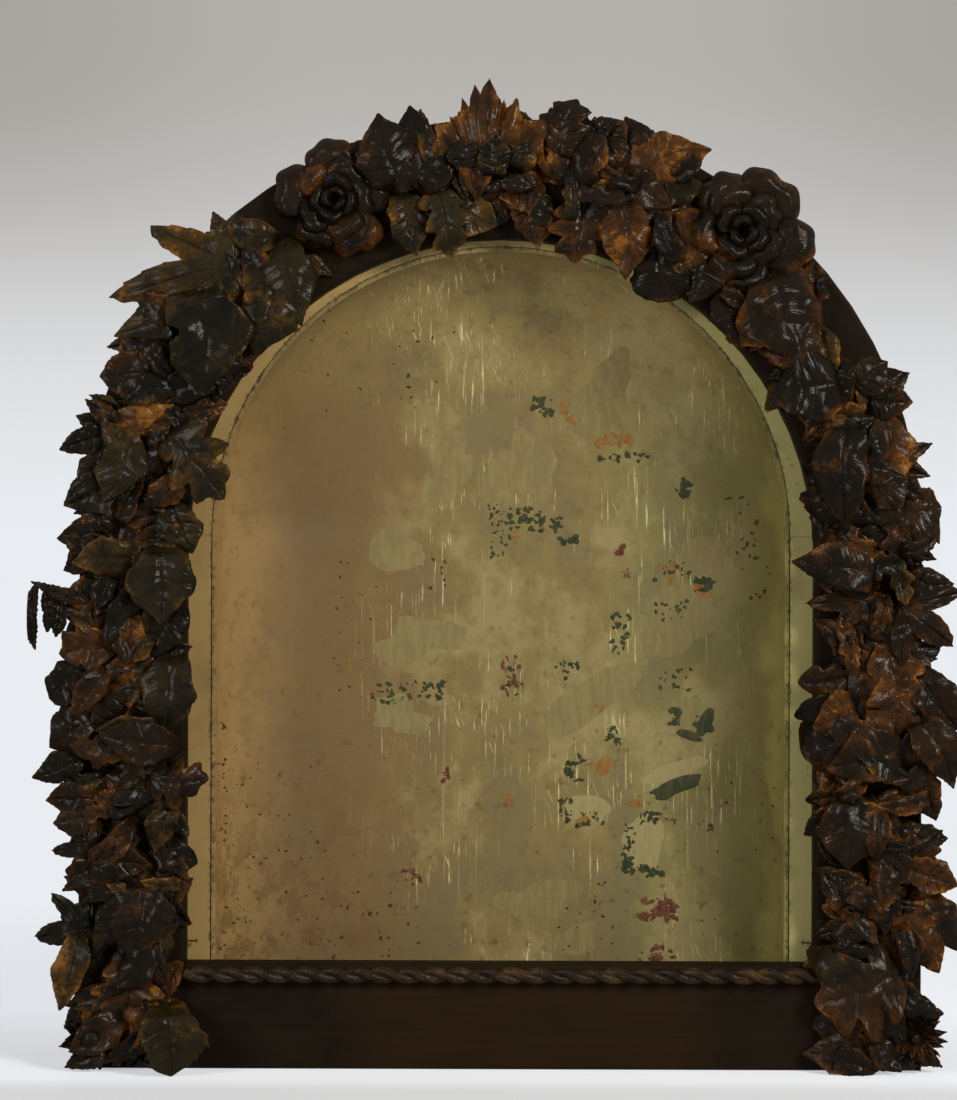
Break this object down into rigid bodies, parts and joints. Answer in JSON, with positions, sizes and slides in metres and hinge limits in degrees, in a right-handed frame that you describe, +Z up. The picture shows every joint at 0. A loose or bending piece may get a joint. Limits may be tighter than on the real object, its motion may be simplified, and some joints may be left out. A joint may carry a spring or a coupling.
{
  "type": "leather flower shadow box",
  "caption": "Arched wooden shadow box with a coved, painted niche behind its opening, a twisted leather moulding on the rail and a garland of leather leaves and roses over the front board.",
  "frame": {"origin": "middle of the case floor's underside, under the middle of the opening", "axes": "+X to the right of someone facing the front, +Y from the front board towards the back panel, +Z up"},
  "size_m": [0.6496, 0.156, 0.6912],
  "materials": {
    "dark_painted_wood": "dark brown-black stain and varnish, scuffed",
    "case_wood": "plain thin softwood, lightly stained",
    "cream_paint": "old matt cream paint, stained",
    "painted_board": "bent board with old cream paint, flecked and scratched",
    "leather_dark": "stiffened hide, dark brown stain under varnish, worn edges",
    "leather_green": "stiffened hide, olive-grey stain under varnish",
    "leather_tan": "stiffened hide, stain worn back to orange-brown",
    "leather_rope": "twisted hide strip, dark stain, waxy",
    "old_iron": "rusted brad"
  },
  "bodies": {
    "root": {"arch_hoop": "case_wood", "arch_segment_left": "dark_painted_wood", "arch_segment_right": "dark_painted_wood", "arch_strip": "cream_paint", "back_panel": "case_wood", "base_rail": "dark_painted_wood", "brad_left": "old_iron", "brad_right": "old_iron", "broad_leaf_right": "leather_dark", "bud": "leather_dark", "cone_flower": "leather_dark", "crest_leaf_top": "leather_tan", "crumpled_leaf_left": "leather_dark", "curved_band_left": "leather_dark", "domed_leaf_left": "leather_dark", "finger_leaf_right": "leather_dark", "floor_board": "case_wood", "folded_leaf_top": "leather_dark", "forked_leaf_top": "leather_dark", "glossy_leaf_right": "leather_dark", "grey_leaf_left": "leather_green", "ivy_leaf_left": "leather_green", "jamb_strip_left": "cream_paint", "jamb_strip_right": "cream_paint", "lobed_leaf_low_left": "leather_tan", "lobed_leaf_low_right": "leather_tan", "long_leaf_right": "leather_dark", "low_leaf_right": "leather_dark", "niche_shell": "painted_board", "oval_leaf_left": "leather_green", "pointed_leaf_right": "leather_dark", "rope_moulding": "leather_rope", "rose_left": "leather_dark", "rose_right": "leather_dark", "side_panel_left": "case_wood", "side_panel_right": "case_wood", "smooth_leaf_left": "leather_dark", "smooth_leaf_low_left": "leather_dark", "spray_jamb_left": "leather_tan", "spray_left_edge": "leather_dark", "spray_left_foot": "leather_dark", "spray_left_lower": "leather_tan", "spray_left_middle": "leather_tan", "spray_left_shoulder": "leather_tan", "spray_left_upper": "leather_green", "spray_right_lower": "leather_dark", "spray_right_middle": "leather_tan", "spray_right_shoulder": "leather_dark", "spray_right_upper": "leather_tan", "spray_top_left": "leather_green", "spray_top_middle": "leather_dark", "spray_top_right": "leather_tan", "spray_under_rose": "leather_dark", "sprig_left": "leather_dark", "stile_left": "dark_painted_wood", "stile_right": "dark_painted_wood", "tassel_flower": "leather_tan", "tip_leaf_left": "leather_dark", "veined_leaf_right": "leather_dark", "vine_leaf_left": "leather_green"}
  },
  "joints": []
}
